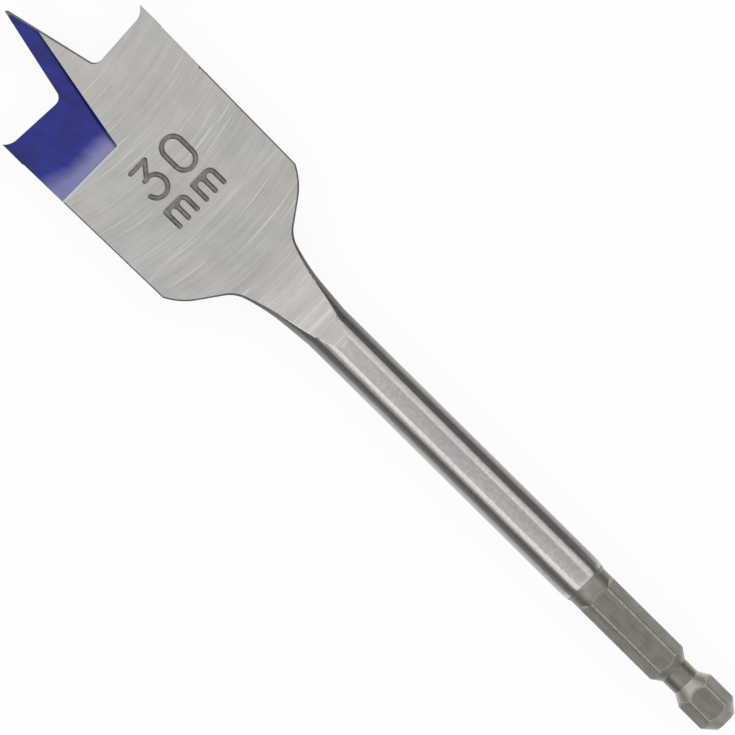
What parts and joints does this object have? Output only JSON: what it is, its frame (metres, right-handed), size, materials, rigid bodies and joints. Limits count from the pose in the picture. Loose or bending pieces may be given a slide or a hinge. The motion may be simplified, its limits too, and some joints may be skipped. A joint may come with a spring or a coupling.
{
  "type": "spade drill bit",
  "caption": "Flat forged spade bit for boring wood: spear point, spurs and scooped blue lip grooves on a flat blade, round shank with a hex quick-change end.",
  "frame": {"origin": "centre of the shank's end face, on the axis", "axes": "+X along the axis from the point to the shank's end, +Z out of the blade's marked face, as it lies on a bench"},
  "size_m": [0.1546, 0.03, 0.0076],
  "materials": {
    "ground_steel": "ground across the blade, satin"
  },
  "bodies": {
    "root": {"spade_bit": "ground_steel"}
  },
  "joints": []
}
